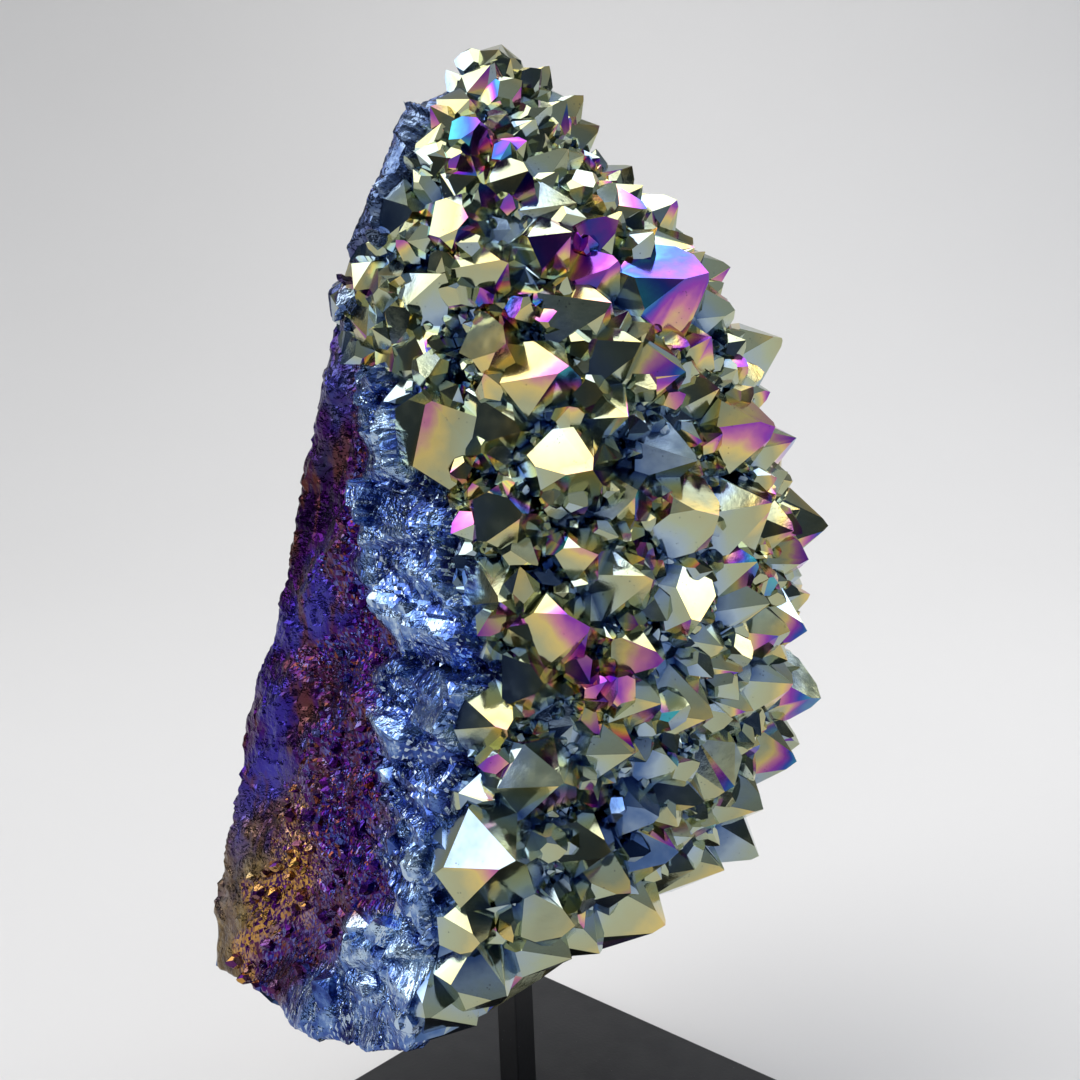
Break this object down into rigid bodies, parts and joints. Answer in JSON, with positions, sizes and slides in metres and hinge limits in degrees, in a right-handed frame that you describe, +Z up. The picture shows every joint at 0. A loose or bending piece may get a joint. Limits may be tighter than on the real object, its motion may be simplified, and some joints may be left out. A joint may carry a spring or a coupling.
{
  "type": "amethyst cluster on stand",
  "caption": "Upright cluster of metal-coated amethyst points on a broken rock wall, held on a square post above a square black base plate.",
  "frame": {"origin": "middle of the base plate's underside, on the surface it stands on", "axes": "+Z up, the crystal face looks along -Y, the broken side wall seen in the picture looks along -X, the back along +Y"},
  "size_m": [0.1522, 0.1379, 0.3221],
  "materials": {
    "coated_quartz": "mirror-like rainbow metal coating, blue and purple on the broken rock wall",
    "black_paint": "satin black"
  },
  "bodies": {
    "root": {"amethyst_cluster": "coated_quartz", "post": "black_paint", "base_plate": "black_paint"}
  },
  "joints": []
}
